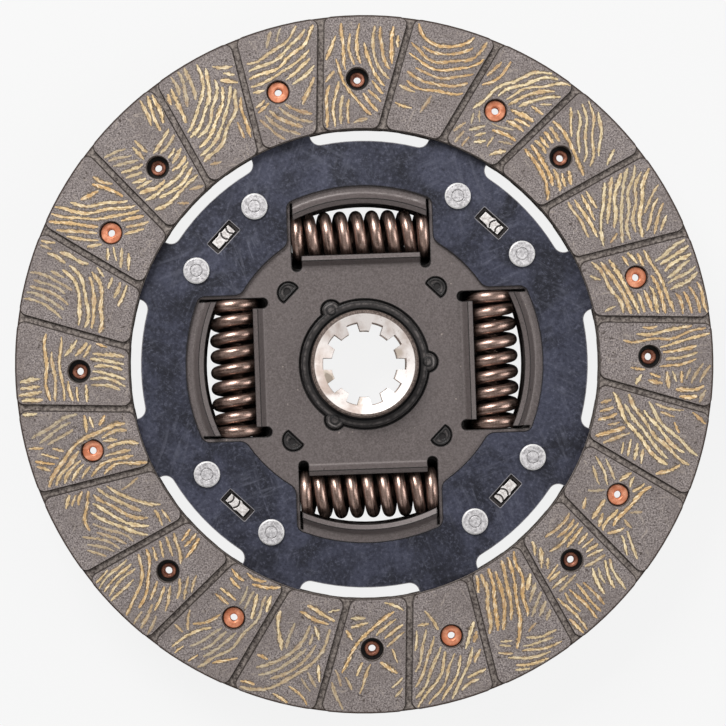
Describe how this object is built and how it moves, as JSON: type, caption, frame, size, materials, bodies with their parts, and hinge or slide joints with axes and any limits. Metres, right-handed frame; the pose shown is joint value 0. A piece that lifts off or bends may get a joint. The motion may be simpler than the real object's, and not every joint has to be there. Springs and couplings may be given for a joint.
{
  "type": "clutch disc",
  "caption": "Clutch disc: two grooved friction facings riveted to a cushioned carrier plate, a torsion damper with coil springs, and a splined hub.",
  "frame": {"origin": "on the hub's axis, midway between the two friction faces", "axes": "+Z along the axis towards the flywheel side, the side that the picture shows; +X to the right and +Y up in the picture"},
  "size_m": [0.24, 0.24, 0.027],
  "materials": {
    "facing": "woven friction lining, ground",
    "copper": "bare copper",
    "blued_steel": "blued spring steel",
    "phosphated_steel": "phosphated and oiled",
    "zinc": "zinc plated",
    "bright_steel": "bare",
    "dark_plastic": "moulded",
    "hub_steel": "machined, oiled",
    "spring_steel": "bronzed, oiled"
  },
  "bodies": {
    "hub": {"hub": "hub_steel"},
    "disc": {"carrier_plate": "blued_steel", "front_facing": "facing", "rear_facing": "facing", "front_facing_rivets": "copper", "rear_facing_rivets": "copper", "front_damper_plate": "phosphated_steel", "rear_damper_plate": "phosphated_steel", "plate_rivets": "zinc", "stop_plate_1": "bright_steel", "stop_plate_2": "bright_steel", "stop_plate_3": "bright_steel", "stop_plate_4": "bright_steel", "guide_bush": "dark_plastic", "rear_bush": "dark_plastic", "friction_ring": "dark_plastic", "rear_friction_washer": "bright_steel", "disc_spring": "bright_steel"},
    "springs": {"spring_1": "spring_steel", "spring_2": "spring_steel", "spring_3": "spring_steel", "spring_4": "spring_steel"}
  },
  "joints": [
    {"name": "damper_twist", "type": "hinge", "parent": "hub", "child": "disc", "pos_m": [0, 0, 0], "axis": [0, 0, 1], "range_deg": [-6, 6], "stiffness_Nm_per_rad": 40, "deforming": ["spring_1", "spring_2", "spring_3", "spring_4"]},
    {"name": "spring_shift", "type": "hinge", "parent": "hub", "child": "springs", "pos_m": [0, 0, 0], "axis": [0, 0, 1], "range_deg": [-3, 3]}
  ],
  "couplings": [
    {"joint": "spring_shift", "follows": "damper_twist", "ratio": 0.5}
  ]
}
